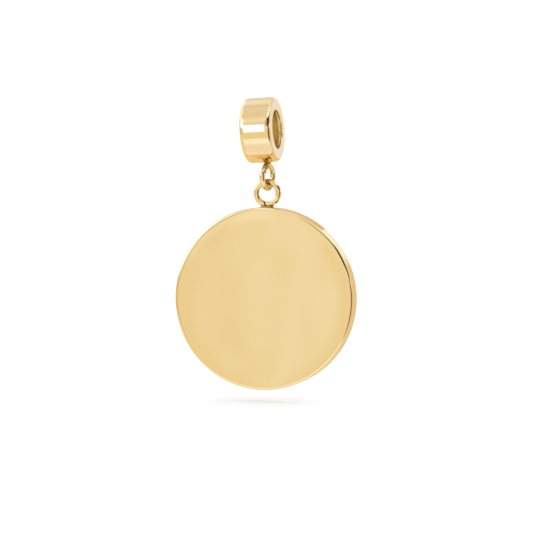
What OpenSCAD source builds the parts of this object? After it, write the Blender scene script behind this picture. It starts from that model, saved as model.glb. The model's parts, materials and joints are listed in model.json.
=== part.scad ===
// Medallion charm: a plain round medallion that hangs from a bead made to slide on a bracelet.
// The bead and the medallion each carry a soldered wire ring, and the two rings interlock.
// The origin is the middle of the bead's bore. The medallion's face looks towards -Y.

/* [Bead] */
// Outer diameter of the bead
bead_d = 8.9; // [8.4:0.1:11]
// Length of the bead along its bore
bead_l = 4.3; // [3.6:0.1:7]
// Diameter of the bore that the bracelet passes through
bore_d = 5.2; // [3.6:0.1:5.6]
// Rounding of the bead's outer edges
bead_round = 0.55; // [0.2:0.05:0.8]
// Rounding of the two rims of the bore
bore_round = 0.15; // [0.05:0.05:0.3]
// Lean of the bead as it hangs, with its +X end up, in degrees
bead_lean = 4.5; // [0:0.5:8]

/* [Rings] */
// Diameter of the wire of both rings
wire_d = 0.8; // [0.6:0.05:0.9]
// Outer diameter of both rings
ring_d = 3.9; // [3.6:0.1:5]
// Distance of both rings from the middle of the bead, along X
ring_x = 0.87; // [0:0.01:1]
// Turn of the bead's ring about the vertical, away from square to the medallion, in degrees
ring_turn = 12; // [0:1:20]
// Free play between the wires of the two rings
ring_play = 0.05; // [0.03:0.01:0.2]
// Width of the cut where each wire was closed
cut_w = 0.08; // [0.04:0.01:0.15]

/* [Medallion] */
// Diameter of the medallion
medal_d = 25; // [15:0.5:35]
// Thickness of the medallion
medal_t = 3.2; // [2.2:0.1:4]
// Rounding of the medallion's edges
medal_round = 0.5; // [0.1:0.05:0.8]

/* [Solder] */
// Depth that each ring sinks into what it is soldered to
ring_sink = 0.02; // [0:0.01:0.2]
// Depth that the solder reaches below the surface that a ring stands on
solder_depth = 0.24; // [0.2:0.01:0.4]
// Spread of the solder on what the ring stands on, from the middle of the joint
solder_spread = 0.62; // [0.5:0.01:0.8]

/* [Hidden] */
$fn = 96;

GOLD = [0.92, 0.79, 0.54];
wire_r = wire_d / 2;
ring_r = (ring_d - wire_d) / 2;

// Overlap of the plain shapes that make up a turned section
lap = 0.1;
// Radius of the solder where it leaves the wire, just outside the wire itself
solder_r = wire_r + 0.02;

// The cut in the bead's ring is on the near side, above the middle of the ring.
// The cut in the medallion's ring is low, beside the solder.
bead_cut_angle = 20;
medal_cut_angle = 256;

// The barrel's lowest line under the rings, on the leaning bead
seat_z = (ring_x * sin(bead_lean) - bead_d / 2) / cos(bead_lean);
bead_ring_z = seat_z + ring_sink - ring_d / 2;
pivot_z = bead_ring_z - ring_r;
medal_ring_z = pivot_z + wire_d + ring_play - ring_r;
medal_z = medal_ring_z - ring_d / 2 + ring_sink - medal_d / 2;

// Half section of a turned piece, its radius along +X and its length along Y, with rounded corners
module turned_section(r_in, r_out, length, round_in, round_out) {
    half = length / 2;
    translate([r_in + round_in, -half])
        square([r_out - round_out - r_in - round_in, length]);
    translate([r_in, round_in - half])
        square([round_in + lap, length - 2 * round_in]);
    translate([r_out - round_out - lap, round_out - half])
        square([round_out + lap, length - 2 * round_out]);
    for (side = [-1, 1]) {
        if (round_in > 0)
            translate([r_in + round_in, side * (half - round_in)])
                circle(r = round_in);
        translate([r_out - round_out, side * (half - round_out)])
            circle(r = round_out);
    }
}

// A closed wire ring about Z with its cut at an angle from +X
module wire_ring(cut_angle) {
    difference() {
        rotate_extrude()
            translate([ring_r, 0])
                circle(r = wire_r);
        rotate([0, 0, cut_angle])
            translate([ring_r - wire_d, -cut_w / 2, -wire_d])
                cube([2 * wire_d, cut_w, 2 * wire_d]);
    }
}

// Solder that spreads from the wire, upwards along +Z, onto what the ring stands on
module solder() {
    cylinder(h = wire_r - ring_sink + solder_depth, r1 = solder_r, r2 = solder_spread);
}

// Bead with a true bore, leaning as it hangs
module bead_barrel() {
    rotate([0, 90 - bead_lean, 0])
        rotate_extrude()
            turned_section(bore_d / 2, bead_d / 2, bead_l, bore_round, bead_round);
}

// Bead and its soldered ring, one solid. The ring stands upright, nearly square to the medallion.
module bail_bead() {
    color(GOLD) {
        bead_barrel();
        translate([ring_x, 0, bead_ring_z])
            rotate([0, 0, -90 - ring_turn])
                rotate([90, 0, 0])
                    wire_ring(bead_cut_angle);
        translate([ring_x, 0, bead_ring_z + ring_r])
            solder();
    }
}

// Medallion disc and its soldered ring, one solid. The ring lies in the disc's own plane.
module medallion() {
    color(GOLD)
        translate([ring_x, 0, 0]) {
            translate([0, 0, medal_z])
                rotate([90, 0, 0])
                    rotate_extrude()
                        turned_section(0, medal_d / 2, medal_t, 0, medal_round);
            translate([0, 0, medal_ring_z])
                rotate([90, 0, 0])
                    wire_ring(medal_cut_angle);
            translate([0, 0, medal_ring_z - ring_r])
                mirror([0, 0, 1])
                    solder();
        }
}

bail_bead();
medallion();
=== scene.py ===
"""Looks of the medallion charm: mirror-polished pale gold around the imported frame, in metres."""

import json
import math

import bpy
import numpy as np
from mathutils import Matrix, Vector


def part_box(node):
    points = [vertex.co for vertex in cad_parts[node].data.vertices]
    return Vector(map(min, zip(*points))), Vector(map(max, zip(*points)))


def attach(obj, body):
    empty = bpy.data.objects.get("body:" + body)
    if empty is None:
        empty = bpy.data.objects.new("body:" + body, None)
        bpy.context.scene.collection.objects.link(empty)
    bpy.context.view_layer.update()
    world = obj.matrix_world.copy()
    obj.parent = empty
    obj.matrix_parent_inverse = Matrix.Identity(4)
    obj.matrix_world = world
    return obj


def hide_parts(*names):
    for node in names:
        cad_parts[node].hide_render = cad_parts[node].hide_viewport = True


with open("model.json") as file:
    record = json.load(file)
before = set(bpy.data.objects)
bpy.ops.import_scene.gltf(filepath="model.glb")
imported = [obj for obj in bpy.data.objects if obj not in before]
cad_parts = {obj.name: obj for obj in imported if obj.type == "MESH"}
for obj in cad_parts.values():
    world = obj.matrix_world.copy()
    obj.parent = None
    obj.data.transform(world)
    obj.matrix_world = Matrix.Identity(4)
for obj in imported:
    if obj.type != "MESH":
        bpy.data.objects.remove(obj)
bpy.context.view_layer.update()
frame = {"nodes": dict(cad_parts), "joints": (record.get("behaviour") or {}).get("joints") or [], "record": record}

MM = 0.001

# Sizes read from the frame
mounts = {m["name"]: m for m in frame["record"]["mounts"]}
bore_mount = mounts["bracelet_bore"]
swing_joint = frame["joints"][0]
bead_low, bead_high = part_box("bail_bead")
medal_low, medal_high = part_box("medallion")

BORE_AXIS = Vector(bore_mount["axis"]).normalized()
BORE_R = bore_mount["dims"]["r_mm"] * MM
BEAD_R = (bead_high.y - bead_low.y) / 2
MEDAL_R = (medal_high.x - medal_low.x) / 2
MEDAL_T = medal_high.y - medal_low.y
MEDAL_CENTRE = Vector(((medal_high.x + medal_low.x) / 2, 0, medal_low.z + MEDAL_R))
PIVOT = Vector(swing_joint["pos_m"])
WIRE_R = PIVOT.z - bead_low.z
UP = Vector((0, 0, 1))
FACE_OUT = Vector((0, -1, 0))

# Sizes of the details, in mm where they are given here
# An edge's bends, from its flat or turned side: up to each slope in degrees, the radius of curvature
BEAD_BENDS = [(30, 1.05 * MM), (90, 0.42 * MM)]
MEDAL_BENDS = [(30, 0.74 * MM), (90, 0.24 * MM)]
BORE_ROUND = 0.15 * MM
# The bore's lead-in at both ends: a little wider, then a cone, between these depths
LEAD_RISE = 0.05 * MM
LEAD_START = 0.25 * MM
LEAD_END = 0.48 * MM
FACE_ROLL = 2.4 * MM
FACE_ROLL_DROP = 0.020 * MM
BRINK = math.atan(3 * FACE_ROLL_DROP / FACE_ROLL)
RING_R = 1.55 * MM
RING_TURN = math.radians(12)
WIRE_SIDES = 40
# Faces at each end of the medallion ring's wire, in its cut, that are painted nearly black: painted shade in the
# gap
CUT_FACES = 4 * WIRE_SIDES
# A ring's cut: its angle in degrees, its width, how far the wire's ends miss each other, and its slant
BEAD_CUT = (-20, 0.03 * MM, 0.20 * MM, 0)
MEDAL_CUT = (262, 0.16 * MM, 0.03 * MM, math.radians(40))
# A joint's solder: how wide it blends, how far it reaches, and how high it climbs the wire
BEAD_JOINT = (0.32 * MM, 0.95 * MM, 0.45 * MM)
MEDAL_JOINT = (0.42 * MM, 1.25 * MM, 0.16 * MM)
# Depth of a joint's foot inside the ring's outer side
FOOT_DEPTH = 0.05 * MM

# Brightness of the backdrop behind the charm, of the sky on the floor, and of the floor itself
BACKDROP_LIGHT = 1.1
SKY_LIGHT = 0.5
FLOOR_GREY = 0.3
FLOOR_GLOW = 0.57
# The light that casts the shadow: its strength and its width in degrees
SUN_LIGHT = 4.1
SUN_WIDTH = 120

# Camera: the point it looks at, where it stands, in degrees, and its lens
AIM = Vector((0.904, 0, -18.645)) * MM
CAMERA_AZIMUTH = 14.4
CAMERA_ELEVATION = 3.03
CAMERA_ROLL = 0.9
CAMERA_DISTANCE = 401.65 * MM
LENS = 197.96
SENSOR = 36

FLOOR_DROP = 1.7 * MM
FLOOR_R = 1.5

# Light and deep tone of the plating outside, in the bore and of the solder, and the near-black painted shade on
# the wire's cut ends
GOLD = [(0.90, 0.68, 0.35), (0.88, 0.63, 0.29)]
BORE_GOLD = [(0.83, 0.65, 0.32), (0.77, 0.58, 0.26)]
SOLDER = [(0.50, 0.33, 0.09), (0.28, 0.15, 0.04)]
CUT_PAINTED_SHADE = [(0.05, 0.03, 0.02), (0.03, 0.02, 0.01)]
# Painted shade: the darker tone painted on the wire where the rings touch each other and the solder, standing in
# for shade and dark reflections there
PAINTED_SHADE = (0.40, 0.28, 0.06)
# Grain of an even polish and of the turned bore, in cells of noise per metre along each axis
EVEN_GRAIN = (900, 900, 900)
TURNED_GRAIN = (2500, 40, 40)
# Depth of the scratches in each finish, and of the waves on the medallion
POLISH_DEPTH = 0.0004 * MM
TURNED_DEPTH = 0.00004 * MM
ROUGH_DEPTH = 0.001 * MM
FACE_WAVE = 0.05 * MM
# Cells of noise per metre in the polish: swirls of tone, haze in the gloss and the wheel's slow waves
SWIRL_CELLS = 260
HAZE_CELLS = 1400
WAVE_CELLS = 150


def link(tree, value, socket):
    """Puts a number, a colour or another node's output on a socket."""
    if isinstance(value, bpy.types.NodeSocket):
        tree.links.new(value, socket)
    else:
        socket.default_value = value


def maths(tree, operation, *values, clamp=False):
    """Output of a Math node on numbers or sockets."""
    node = tree.nodes.new("ShaderNodeMath")
    node.operation = operation
    node.use_clamp = clamp
    for value, socket in zip(values, node.inputs):
        link(tree, value, socket)
    return node.outputs[0]


def mixed(tree, factor, first, second):
    """Output of a colour Mix node."""
    node = tree.nodes.new("ShaderNodeMix")
    node.data_type = "RGBA"
    link(tree, factor, node.inputs["Factor"])
    link(tree, first, node.inputs["A"])
    link(tree, second, node.inputs["B"])
    return node.outputs["Result"]


# Meshes


def make_piece(name, points, normals, faces, materials, body):
    """A smooth-shaded piece with its exact normals, riding on a body."""
    mesh = bpy.data.meshes.new(name)
    mesh.from_pydata([tuple(p) for p in points], [], faces)
    mesh.polygons.foreach_set("use_smooth", [True] * len(mesh.polygons))
    for material in materials:
        mesh.materials.append(material)
    mesh.update()
    mesh.normals_split_custom_set_from_vertices([tuple(n) for n in normals])
    piece = bpy.data.objects.new(name, mesh)
    bpy.context.scene.collection.objects.link(piece)
    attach(piece, body)
    return piece


def arc(centre_r, centre_h, radius, start, end, steps=12):
    """Profile points on an arc, each as radius, height and the two parts of its normal."""
    found = []
    for i in range(steps + 1):
        angle = math.radians(start + (end - start) * i / steps)
        c, s = math.cos(angle), math.sin(angle)
        found.append((centre_r + radius * c, centre_h + radius * s, c, s))
    return found


def lathe(profile, axis, centre, steps, closed):
    """Points, normals and faces of a profile turned about an axis. An open profile ends on the axis."""
    axis = axis.normalized()
    side = axis.orthogonal().normalized()
    front = axis.cross(side)
    count = len(profile)
    points, normals, faces = [], [], []
    for i in range(steps):
        angle = 2 * math.pi * i / steps
        out = side * math.cos(angle) + front * math.sin(angle)
        for r, h, n_r, n_h in profile:
            points.append(centre + out * r + axis * h)
            normals.append((out * n_r + axis * n_h).normalized())
    for i in range(steps):
        here, there = i * count, (i + 1) % steps * count
        for j in range(count if closed else count - 1):
            k = (j + 1) % count
            faces.append((here + j, here + k, there + k, there + j))
    if not closed:
        for j, order in ((0, 1), (count - 1, -1)):
            pole = len(points)
            points.append(centre + axis * profile[j][1])
            normals.append(axis * profile[j][3])
            for i in range(steps):
                edge = (i * count + j, (i + 1) % steps * count + j)[::order]
                faces.append((*edge, pole))
    return points, normals, faces


def bent(bends, start, slope):
    """How far along and how far down an edge has gone when it reaches a slope, from its start slope."""
    along = down = 0
    for limit, radius in bends:
        end = min(slope, math.radians(limit))
        if end > start:
            along += radius * (math.sin(end) - math.sin(start))
            down += radius * (math.cos(start) - math.cos(end))
            start = end
    return along, down


def barrel_profile(half):
    """The bead's section: outer edge, end face, bore rim, lead-in and bore, at both ends."""
    rim = BORE_R + LEAD_RISE + BORE_ROUND
    flat = half - bent(BEAD_BENDS, 0, math.pi / 2)[0]
    corner = []
    for i in range(25):
        slope = math.pi / 2 * i / 24
        along, down = bent(BEAD_BENDS, 0, slope)
        corner.append((BEAD_R - down, flat + along, math.cos(slope), math.sin(slope)))
    lean = LEAD_RISE / (LEAD_END - LEAD_START)
    crease = 0.01 * MM
    lead = [
        (BORE_R + LEAD_RISE, LEAD_START - crease, -1, 0), (BORE_R + LEAD_RISE, LEAD_START, -1, -lean),
        (BORE_R, LEAD_END, -1, -lean), (BORE_R, LEAD_END + crease, -1, 0),
    ]
    return [
        *[(r, -h, n_r, -n_h) for r, h, n_r, n_h in corner],
        *arc(rim, BORE_ROUND - half, BORE_ROUND, 270, 180, 8),
        *[(r, depth - half, n_r, n_h) for r, depth, n_r, n_h in lead],
        *[(r, half - depth, n_r, -n_h) for r, depth, n_r, n_h in reversed(lead)],
        *arc(rim, half - BORE_ROUND, BORE_ROUND, 180, 90, 8),
        *reversed(corner),
    ]


def medal_edge(slope):
    """Radius and height of the medallion's edge where it has a slope."""
    along, down = bent(MEDAL_BENDS, BRINK, slope)
    brim = MEDAL_R - bent(MEDAL_BENDS, BRINK, math.pi / 2)[0]
    return brim + along, MEDAL_T / 2 - FACE_ROLL_DROP - down


def disc_profile():
    """The medallion's section from one face's middle, over the edge, to the other face's middle.
    Polishing has rolled each face off a little towards its edge, and broken the edge with a soft bevel."""
    flat = medal_edge(BRINK)[0] - FACE_ROLL
    front = [(flat * i / 12, MEDAL_T / 2, 0, 1) for i in range(1, 12)]
    for i in range(17):
        u = i / 16
        drop = FACE_ROLL_DROP * u ** 3
        front.append((flat + FACE_ROLL * u, MEDAL_T / 2 - drop, math.tan(BRINK) * u * u, 1))
    for i in range(1, 21):
        slope = BRINK + (math.pi / 2 - BRINK) * i / 20
        front.append((*medal_edge(slope), math.sin(slope), math.cos(slope)))
    back = [(r, -h, n_r, -n_h) for r, h, n_r, n_h in reversed(front)]
    return front + back


def wire_ring(centre, axis, start_side, cut_angle, gap, offset, skew, around=176, section=WIRE_SIDES):
    """A closed wire ring with its cut: the two ends miss each other by offset along the axis.
    Angles are measured from start_side about the axis, in degrees. Skew slants the cut."""
    ahead = axis.cross(start_side)
    bevel = 0.06 * MM
    fade = 0.9 * MM
    inset = bevel / RING_R
    first = math.radians(cut_angle) + gap / 2 / RING_R
    last = first + 2 * math.pi - gap / RING_R
    stations = [first + (last - first) * i / around for i in range(around + 1)]
    rows = [(at, WIRE_R, 0, 1) for at in stations if first + inset < at < last - inset]
    bevel_steps = 5
    for i in range(bevel_steps + 1):
        a = math.pi / 2 * i / bevel_steps
        back = inset * (1 - math.sin(a))
        radius = WIRE_R - bevel * (1 - math.cos(a))
        rows.insert(0, (first + back, radius, -math.sin(a), math.cos(a)))
        rows.append((last - back, radius, math.sin(a), math.cos(a)))
    middle = (first + last) / 2
    points, normals, faces = [], [], []
    for angle, r, n_along, n_out in rows:
        shift = offset / 2 * (2 * (angle - middle) / (last - first)) ** 3
        near = min(angle - first, last - angle) * RING_R
        slant = max(0.0, 1 - near / fade) * math.tan(skew)
        for j in range(section):
            s = 2 * math.pi * j / section
            turned = angle + slant * WIRE_R * math.cos(s) / RING_R
            out = start_side * math.cos(turned) + ahead * math.sin(turned)
            along = axis.cross(out)
            normal = out * math.cos(s) + axis * math.sin(s)
            points.append(centre + out * (RING_R + r * math.cos(s)) + axis * (r * math.sin(s) + shift))
            normals.append((normal * n_out + along * n_along).normalized())
    count = len(rows)
    for i in range(count - 1):
        for j in range(section):
            k = (j + 1) % section
            faces.append((i * section + j, (i + 1) * section + j, (i + 1) * section + k, i * section + k))
    for row, order in ((0, 1), (count - 1, -1)):
        faces.append(tuple(range(row * section, (row + 1) * section))[::order])
    return points, normals, faces


def solder(seat_distance, ring_centre, ring_axis, foot, blend, reach, tall, rings=56, spokes=96):
    """Solder in the corner between a ring's wire and what it stands on, as a star-shaped lump round foot.
    Its surface is where the smoothly joined distances to the two forms are zero."""
    away = (ring_centre - foot).normalized()
    side = ring_axis.normalized()
    front = away.cross(side)
    tilt = np.linspace(0, math.pi, rings + 1)
    turn = np.linspace(0, 2 * math.pi, spokes, endpoint=False)
    tilt_grid, turn_grid = np.meshgrid(tilt[1:-1], turn, indexing="ij")
    basis = np.array([side, front, away], float)
    rays = np.stack([np.sin(tilt_grid) * np.cos(turn_grid), np.sin(tilt_grid) * np.sin(turn_grid),
                     np.cos(tilt_grid)], -1).reshape(-1, 3) @ basis
    rays = np.vstack([rays, [basis[2], -basis[2]]])
    # The surface lies this far inside the smooth join, and farther in where it climbs past tall
    skin = 0.004 * MM
    taper = 0.25 * MM
    foot_at, centre_at, axis_at, away_at = (np.array(v, float) for v in (foot, ring_centre, side, away))

    def distance(at):
        from_ring = at - centre_at
        along = from_ring @ axis_at
        flat = np.linalg.norm(from_ring - along[:, None] * axis_at, axis=1)
        wire = np.hypot(flat - RING_R, along) - WIRE_R
        seat = seat_distance(at)
        near = np.maximum(blend - np.abs(wire - seat), 0) / blend
        joined = np.minimum(wire, seat) - near * near * blend / 4
        height = (at - foot_at) @ away_at
        return joined + skin + np.clip((height - tall) / tall, 0, 1) * taper

    steps = np.linspace(0, reach, 220)
    length = np.full(len(rays), reach)
    open_ray = np.ones(len(rays), bool)
    before = distance(foot_at + rays * steps[0])
    for low, high in zip(steps[:-1], steps[1:]):
        after = distance(foot_at + rays * high)
        crossed = open_ray & (after > 0)
        share = np.clip(-before / np.maximum(after - before, 1e-12), 0, 1)
        length[crossed] = (low + (high - low) * share)[crossed]
        open_ray &= ~crossed
        before = after
    points = foot_at + rays * length[:, None]
    small = 0.002 * MM
    normals = np.stack([distance(points + small * e) - distance(points - small * e) for e in np.eye(3)], -1)
    normals /= np.maximum(np.linalg.norm(normals, axis=1), 1e-15)[:, None]
    normals[open_ray] = rays[open_ray]
    rows = rings - 1
    faces = []
    for i in range(rows - 1):
        for j in range(spokes):
            k = (j + 1) % spokes
            faces.append((i * spokes + j, (i + 1) * spokes + j, (i + 1) * spokes + k, i * spokes + k))
    top, bottom = rows * spokes, rows * spokes + 1
    for j in range(spokes):
        k = (j + 1) % spokes
        faces.append((j, k, top))
        faces.append(((rows - 1) * spokes + k, (rows - 1) * spokes + j, bottom))
    return [Vector(p) for p in points], [Vector(n) for n in normals], faces


# Materials


def noise(tree, vector, scale, detail=2.0):
    """Grey output of a noise texture."""
    node = tree.nodes.new("ShaderNodeTexNoise")
    link(tree, vector, node.inputs["Vector"])
    node.inputs["Scale"].default_value = scale
    node.inputs["Detail"].default_value = detail
    return node.outputs["Fac"]


def bumped(tree, height, distance, normal=None):
    """Normal of a surface raised by a height times a distance."""
    node = tree.nodes.new("ShaderNodeBump")
    node.inputs["Distance"].default_value = distance
    link(tree, height, node.inputs["Height"])
    if normal:
        link(tree, normal, node.inputs["Normal"])
    return node.outputs["Normal"]


def stretched(tree, scale):
    """Object coordinates, scaled by a different amount on each axis."""
    coordinates = tree.nodes.new("ShaderNodeTexCoord")
    mapping = tree.nodes.new("ShaderNodeMapping")
    mapping.inputs["Scale"].default_value = scale
    tree.links.new(coordinates.outputs["Object"], mapping.inputs["Vector"])
    return mapping.outputs["Vector"]


def polished_gold(name, colours, roughness, grain, grain_height, wave=0.0, painted_shades=()):
    """Polished gold plating: soft swirls in tone and gloss, slow waves that the polishing wheel left,
    and hairline scratches along the grain. Round the shade points it is given, the colour is painted darker:
    painted shade and dark reflection where parts meet."""
    material = bpy.data.materials.new(name)
    material.use_nodes = True
    tree = material.node_tree
    shader = tree.nodes["Principled BSDF"]
    shader.inputs["Metallic"].default_value = 1.0
    plain = stretched(tree, (1, 1, 1))
    swirl = noise(tree, plain, SWIRL_CELLS, 3)
    light, deep = colours
    tone = mixed(tree, maths(tree, "MULTIPLY", swirl, 0.25), (*light, 1), (*deep, 1))
    # Painted shade: round each point the base colour is mixed towards a darker tone, standing in for shade and
    # dark reflections.
    for point, full, clear in painted_shades:
        apart = tree.nodes.new("ShaderNodeVectorMath")
        apart.operation = "DISTANCE"
        link(tree, plain, apart.inputs[0])
        link(tree, point, apart.inputs[1])
        reach = clear - full
        amount = maths(tree, "MULTIPLY_ADD", apart.outputs["Value"], -1 / reach, clear / reach, clamp=True)
        tone = mixed(tree, amount, tone, (*PAINTED_SHADE, 1))
    link(tree, tone, shader.inputs["Base Color"])
    haze = noise(tree, plain, HAZE_CELLS, 4)
    gloss = maths(tree, "MULTIPLY_ADD", haze, roughness * 0.7, roughness * 0.65)
    link(tree, gloss, shader.inputs["Roughness"])
    scratches = noise(tree, stretched(tree, grain), 1, 4)
    normal = bumped(tree, noise(tree, plain, WAVE_CELLS, 0), wave) if wave else None
    normal = bumped(tree, scratches, 0.4 * grain_height, normal)
    link(tree, normal, shader.inputs["Normal"])
    return material


# Studio

# What a reflection sees, by its angle about the X axis, from straight ahead (-Y) upwards, in degrees.
# The tone goes from -1, warm, to 1, cool.
BANDS = [
    # angle, level, tone
    (-180, 0.72, -2.0), (-168, 0.74, -2.0), (-150, 0.78, -2.2), (-130, 0.80, -2.2), (-114, 0.85, -1.2),
    (-100, 0.97, 0.0), (-86, 1.07, 0.4), (-80, 1.00, 0.5), (-54, 1.00, 0.5), (-45, 1.22, 1.0),
    (-34, 1.24, 1.0), (-30, 1.00, 0.0), (-26, 0.88, -1.0), (-20, 0.88, -1.0), (-8, 0.92, -0.3),
    (18, 1.00, 0.0), (24, 0.88, 0.8), (29, 0.98, 0.0), (34, 1.05, 0.4), (38, 1.04, 0.5), (46, 0.92, 0.1),
    (56, 0.85, 0.1), (74, 0.91, 0.2), (88, 0.90, 0.3), (96, 0.81, 0.2), (102, 0.90, 0.6),
    (110, 1.06, 1.0), (124, 1.05, 0.9), (134, 0.93, 0.6), (150, 0.84, 0.2), (164, 0.80, -0.5),
    (180, 0.72, -2.0),
]
TONE_RED = 0.05
TONE_BLUE = 0.18

# Soft boxes and dark strips, between two azimuths and two elevations in degrees, with soft edges
PANELS = [
    # az_low, az_high, el_low, el_high, softness, red, green, blue
    (-155.0, -24.0, -12.0, 5.0, 6.0, 0.80, 0.73, 0.60),
    (-150.0, -40.0, -62.0, -12.0, 8.0, 0.97, 0.92, 0.76),
    (24.0, 150.0, -15.0, 8.0, 6.0, 0.78, 0.70, 0.56),
    (-1.0, 13.0, 14.0, 34.0, 4.0, 0.55, 0.45, 0.33),
    (-23.0, -8.0, -9.0, 1.0, 3.0, 0.93, 0.91, 0.81),
    (-14.8, -12.8, -9.0, 1.0, 2.0, 0.98, 1.02, 1.04),
    (-24.0, -6.0, -1.3, 14.0, 0.8, 0.985, 0.99, 0.97),
    (-15.6, -13.9, -1.7, 3.0, 1.0, 1.03, 1.08, 1.16),
    (-75.0, -30.0, 6.0, 34.0, 4.0, 1.3, 1.65, 2.5),
    (-30.0, -19.0, -1.0, 16.0, 1.6, 0.50, 0.42, 0.32),
    (-150.0, -70.0, 14.0, 52.0, 6.0, 1.15, 1.25, 1.4),
    (40.0, 118.0, 8.0, 58.0, 8.0, 1.7, 1.9, 2.3),
    (40.0, 84.0, -24.0, 16.0, 5.0, 0.14, 0.09, 0.05),
    (22.0, 112.0, 14.0, 42.0, 4.0, 0.12, 0.08, 0.05),
    (150.0, 182.0, -24.0, 8.0, 3.0, 0.85, 0.71, 0.46),
    (175.0, 182.0, -9.0, 7.0, 3.0, 0.93, 0.89, 0.76),
    (-182.0, -160.0, -9.0, 7.0, 3.0, 0.93, 0.89, 0.76),
    (158.0, 182.0, 8.0, 19.0, 3.0, 1.02, 1.10, 1.05),
    (-182.0, -158.0, 5.0, 17.0, 4.0, 0.78, 0.58, 0.34),
    (45.0, 68.0, -30.0, -1.0, 4.0, 0.22, 0.16, 0.10),
]

# Half of the bead's length along its bore
BEAD_HALF = 2.15 * MM
bead_end = BORE_AXIS * BEAD_HALF
# Small cards near the charm: the point each is held up to, its azimuth, elevation and distance from
# that point, its width and height, and its colour
FLAT_CARDS = [
    ("bead_light", UP * 1.1 * MM, -14.7, 0.0, 12 * MM, 5.6 * MM, 4.3 * MM, (1.25, 1.6, 2.9)),
    ("bead_end_light", bead_end, 165.7, 0.0, 20 * MM, 10 * MM, 12 * MM, (0.95, 0.96, 1.05)),
]


def between(tree, value, low, high, softness):
    """1 between two numbers and 0 outside them, with soft edges."""
    above = maths(tree, "MULTIPLY_ADD", value, 1 / softness, 0.5 - low / softness, clamp=True)
    below = maths(tree, "MULTIPLY_ADD", value, -1 / softness, 0.5 + high / softness, clamp=True)
    return maths(tree, "MULTIPLY", above, below)


def studio():
    """White to the camera and even to the floor.
    The metal sees long soft bands, soft boxes and dark strips."""
    world = bpy.data.worlds.new("studio")
    bpy.context.scene.world = world
    world.use_nodes = True
    tree = world.node_tree
    tree.nodes.clear()
    output = tree.nodes.new("ShaderNodeOutputWorld")
    coordinates = tree.nodes.new("ShaderNodeTexCoord")
    parts = tree.nodes.new("ShaderNodeSeparateXYZ")
    tree.links.new(coordinates.outputs["Generated"], parts.inputs[0])
    x, y, z = parts.outputs
    ahead = maths(tree, "MULTIPLY", y, -1.0)
    degrees = 180 / math.pi
    over = maths(tree, "MULTIPLY", maths(tree, "ARCTAN2", z, ahead), degrees)
    azimuth = maths(tree, "MULTIPLY", maths(tree, "ARCTAN2", x, ahead), degrees)
    elevation = maths(tree, "MULTIPLY", maths(tree, "ARCSINE", z), degrees)
    ramp = tree.nodes.new("ShaderNodeValToRGB")
    link(tree, maths(tree, "MULTIPLY_ADD", over, 1 / 360, 0.5), ramp.inputs[0])
    stops = ramp.color_ramp.elements
    while len(stops) > 1:
        stops.remove(stops[-1])
    for i, (angle, level, tone) in enumerate(BANDS):
        place = (angle + 180) / 360
        stop = stops[0] if i == 0 else stops.new(place)
        stop.position = place
        stop.color = (level * (1 - TONE_RED * tone), level, level * (1 + TONE_BLUE * tone), 1)
    colour = ramp.outputs[0]
    for az_low, az_high, el_low, el_high, softness, *light in PANELS:
        across = between(tree, azimuth, az_low, az_high, softness)
        up = between(tree, elevation, el_low, el_high, softness)
        colour = mixed(tree, maths(tree, "MULTIPLY", across, up), colour, (*light, 1))
    seen_in_metal = tree.nodes.new("ShaderNodeBackground")
    link(tree, colour, seen_in_metal.inputs["Color"])
    backdrop = tree.nodes.new("ShaderNodeBackground")
    backdrop.inputs["Color"].default_value = (1, 1, 1, 1)
    backdrop.inputs["Strength"].default_value = BACKDROP_LIGHT
    sky = tree.nodes.new("ShaderNodeBackground")
    sky.inputs["Color"].default_value = (1, 1, 1, 1)
    sky.inputs["Strength"].default_value = SKY_LIGHT
    path = tree.nodes.new("ShaderNodeLightPath")
    shown = seen_in_metal.outputs[0]
    for ray, background in (("Is Diffuse Ray", sky), ("Is Camera Ray", backdrop)):
        chosen = tree.nodes.new("ShaderNodeMixShader")
        tree.links.new(path.outputs[ray], chosen.inputs[0])
        tree.links.new(shown, chosen.inputs[1])
        tree.links.new(background.outputs[0], chosen.inputs[2])
        shown = chosen.outputs[0]
    tree.links.new(shown, output.inputs[0])


def floor():
    """A plain white floor just under the hanging medallion."""
    steps = 96
    level = medal_low.z - FLOOR_DROP
    turns = [2 * math.pi * i / steps for i in range(steps)]
    points = [(FLOOR_R * math.cos(turn), FLOOR_R * math.sin(turn), level) for turn in turns]
    mesh = bpy.data.meshes.new("floor")
    mesh.from_pydata(points, [], [tuple(range(steps))])
    material = bpy.data.materials.new("white_floor")
    material.use_nodes = True
    shader = material.node_tree.nodes["Principled BSDF"]
    shader.inputs["Base Color"].default_value = (FLOOR_GREY, FLOOR_GREY, FLOOR_GREY, 1)
    shader.inputs["Roughness"].default_value = 0.9
    shader.inputs["Specular IOR Level"].default_value = 0.0
    shader.inputs["Emission Color"].default_value = (1, 1, 1, 1)
    shader.inputs["Emission Strength"].default_value = FLOOR_GLOW
    mesh.materials.append(material)
    ground = bpy.data.objects.new("floor", mesh)
    ground.visible_glossy = False
    bpy.context.scene.collection.objects.link(ground)


def floor_light():
    """A wide soft light overhead that only casts the shadow on the floor."""
    data = bpy.data.lights.new("overhead", "SUN")
    data.energy = SUN_LIGHT
    data.angle = math.radians(SUN_WIDTH)
    light = bpy.data.objects.new("overhead", data)
    light.visible_glossy = False
    bpy.context.scene.collection.objects.link(light)


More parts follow.
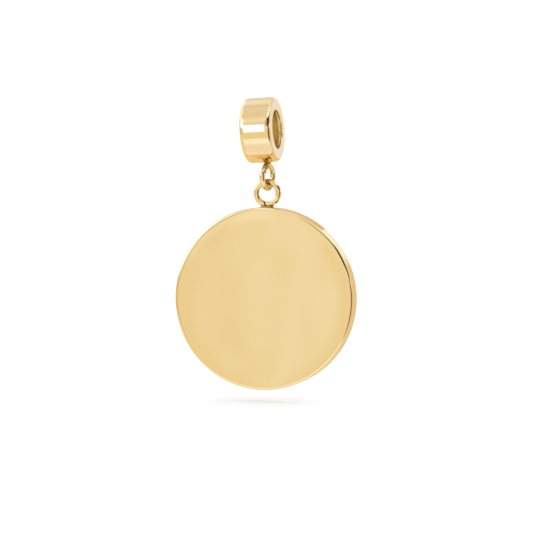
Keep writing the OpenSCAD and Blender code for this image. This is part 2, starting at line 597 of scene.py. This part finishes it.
def card(name, points, faces, colour):
    """A plain card that is seen only in the metal, as bright as its colour."""
    mesh = bpy.data.meshes.new(name)
    mesh.from_pydata([tuple(p) for p in points], [], faces)
    material = bpy.data.materials.new(name)
    material.use_nodes = True
    shader = material.node_tree.nodes["Principled BSDF"]
    shader.inputs["Base Color"].default_value = (0, 0, 0, 1)
    shader.inputs["Specular IOR Level"].default_value = 0.0
    shader.inputs["Emission Color"].default_value = (*colour, 1)
    shader.inputs["Emission Strength"].default_value = 1.0
    mesh.materials.append(material)
    held = bpy.data.objects.new(name, mesh)
    held.visible_camera = False
    held.visible_diffuse = False
    held.visible_shadow = False
    bpy.context.scene.collection.objects.link(held)


def flat_cards():
    """Small upright cards, each square to the line from the point that it is held up to."""
    for name, seen_from, azimuth, elevation, distance, width, height, colour in FLAT_CARDS:
        turn, rise = math.radians(azimuth), math.radians(elevation)
        ahead = Vector((math.sin(turn) * math.cos(rise), -math.cos(turn) * math.cos(rise), math.sin(rise)))
        across = ahead.cross(UP).normalized() * width / 2
        up = across.cross(ahead).normalized() * height / 2
        middle = seen_from + ahead * distance
        points = [middle - across - up, middle + across - up, middle + across + up, middle - across + up]
        card(name, points, [(0, 1, 2, 3)], colour)


def camera():
    """The photograph's view: from the right of the face and a little above."""
    data = bpy.data.cameras.new("camera")
    data.sensor_width = SENSOR
    data.lens = LENS
    data.clip_start = 0.01
    data.clip_end = 10
    seen_from = bpy.data.objects.new("camera", data)
    bpy.context.scene.collection.objects.link(seen_from)
    azimuth, elevation = math.radians(CAMERA_AZIMUTH), math.radians(CAMERA_ELEVATION)
    back = Vector((math.sin(azimuth) * math.cos(elevation), -math.cos(azimuth) * math.cos(elevation),
                   math.sin(elevation)))
    right = Vector((math.cos(azimuth), math.sin(azimuth), 0))
    turned = Matrix((right, back.cross(right), back)).transposed().to_4x4()
    roll = Matrix.Rotation(math.radians(CAMERA_ROLL), 4, "Z")
    seen_from.matrix_world = Matrix.Translation(AIM + back * CAMERA_DISTANCE) @ turned @ roll
    bpy.context.scene.camera = seen_from
    bpy.context.scene.view_settings.view_transform = "Standard"


# The object


def paint_cut_shade(ring):
    """Gives the ends of a ring's wire, in its cut, the ring's second material, a near-black painted shade for the
    gap.
    """
    last = len(ring.data.polygons) - 2
    for face in ring.data.polygons:
        if face.index < CUT_FACES or face.index >= last - CUT_FACES:
            face.material_index = 1


def bead(outside, inside, wire, joint):
    """The bead, its ring and the solder between them."""
    along = [Vector(v.co).dot(BORE_AXIS) for v in frame["nodes"]["bail_bead"].data.vertices]
    half = (max(along) - min(along)) / 2
    points, normals, faces = lathe(barrel_profile(half), BORE_AXIS, Vector(), 288, closed=True)
    barrel = make_piece("bead_barrel", points, normals, faces, [outside, inside], "bead")
    margin = 0.01 * MM
    limit = BORE_R + LEAD_RISE + margin
    for face in barrel.data.polygons:
        middle = Vector(face.center)
        if (middle - BORE_AXIS * middle.dot(BORE_AXIS)).length < limit:
            face.material_index = 1
    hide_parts("bail_bead")

    ring_centre, ring_axis = bead_ring_centre, bead_ring_axis
    points, normals, faces = wire_ring(ring_centre, ring_axis, bead_ring_near, *BEAD_CUT)
    make_piece("bead_ring", points, normals, faces, [wire], "bead")

    axis_at = np.array(BORE_AXIS, float)

    def seat(at):
        along_bore = at @ axis_at
        return np.linalg.norm(at - along_bore[:, None] * axis_at, axis=1) - BEAD_R

    foot = ring_centre + UP * (RING_R + WIRE_R - FOOT_DEPTH)
    points, normals, faces = solder(seat, ring_centre, ring_axis, foot, *BEAD_JOINT)
    make_piece("bead_solder", points, normals, faces, [joint], "bead")


def medallion(gold, wire, joint):
    """The disc, its ring and the solder between them."""
    points, normals, faces = lathe(disc_profile(), FACE_OUT, MEDAL_CENTRE, 384, closed=False)
    disc = make_piece("medallion_disc", points, normals, faces, [gold], "medallion")
    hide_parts("medallion")

    ring_centre = Vector((MEDAL_CENTRE.x, 0, medal_high.z - RING_R - WIRE_R))
    right = Vector((1, 0, 0))
    points, normals, faces = wire_ring(ring_centre, FACE_OUT, right, *MEDAL_CUT)
    ring = make_piece("medallion_ring", points, normals, faces, wire, "medallion")
    paint_cut_shade(ring)

    middle = np.array(MEDAL_CENTRE, float)

    def seat(at):
        return np.hypot(at[:, 0] - middle[0], at[:, 2] - middle[2]) - MEDAL_R

    foot = ring_centre - UP * (RING_R + WIRE_R - FOOT_DEPTH)
    points, normals, faces = solder(seat, ring_centre, FACE_OUT, foot, *MEDAL_JOINT)
    make_piece("medallion_solder", points, normals, faces, [joint], "medallion")


bead_ring_centre = PIVOT + UP * RING_R
bead_ring_axis = Vector((math.cos(RING_TURN), -math.sin(RING_TURN), 0))
bead_ring_near = bead_ring_axis.cross(UP)
medal_ring_top = Vector((MEDAL_CENTRE.x, 0, medal_high.z - WIRE_R))
# Painted shade on a ring's wire, for shade and dark reflections near the bead and where the rings meet: a point,
# and the distances where the tone is full and where it ends
bead_painted_shades = [
    (bead_ring_centre + (bead_ring_near * 0.57 + UP * 0.82) * RING_R, 0.45 * MM, 0.80 * MM),
    (PIVOT, 0.35 * MM, 0.75 * MM),
]
bead_outside = polished_gold("bead_polish", GOLD, 0.05, EVEN_GRAIN, POLISH_DEPTH)
bead_inside = polished_gold("bore_turning", BORE_GOLD, 0.28, TURNED_GRAIN, TURNED_DEPTH)
medal_polish = polished_gold("medallion_polish", GOLD, 0.05, EVEN_GRAIN, POLISH_DEPTH, FACE_WAVE)
joint_metal = polished_gold("soldered_joint", SOLDER, 0.25, EVEN_GRAIN, ROUGH_DEPTH)
# Near-black painted shade for the ends of the medallion ring's wire, in its cut.
cut_painted_shade = polished_gold("cut_end_painted_shade", CUT_PAINTED_SHADE, 0.6, EVEN_GRAIN, ROUGH_DEPTH)
bead_wire = polished_gold("bead_ring_wire", GOLD, 0.06, EVEN_GRAIN, POLISH_DEPTH, 0, bead_painted_shades)
# The medallion ring's wire gets painted shade round its top, where the bead's ring passes through it.
medal_wire = polished_gold("medallion_ring_wire", GOLD, 0.06, EVEN_GRAIN, POLISH_DEPTH, 0,
                           [(medal_ring_top, 0.40 * MM, 0.80 * MM)])
bead(bead_outside, bead_inside, bead_wire, joint_metal)
medallion(medal_polish, [medal_wire, cut_painted_shade], joint_metal)
studio()
floor()
floor_light()
flat_cards()
camera()
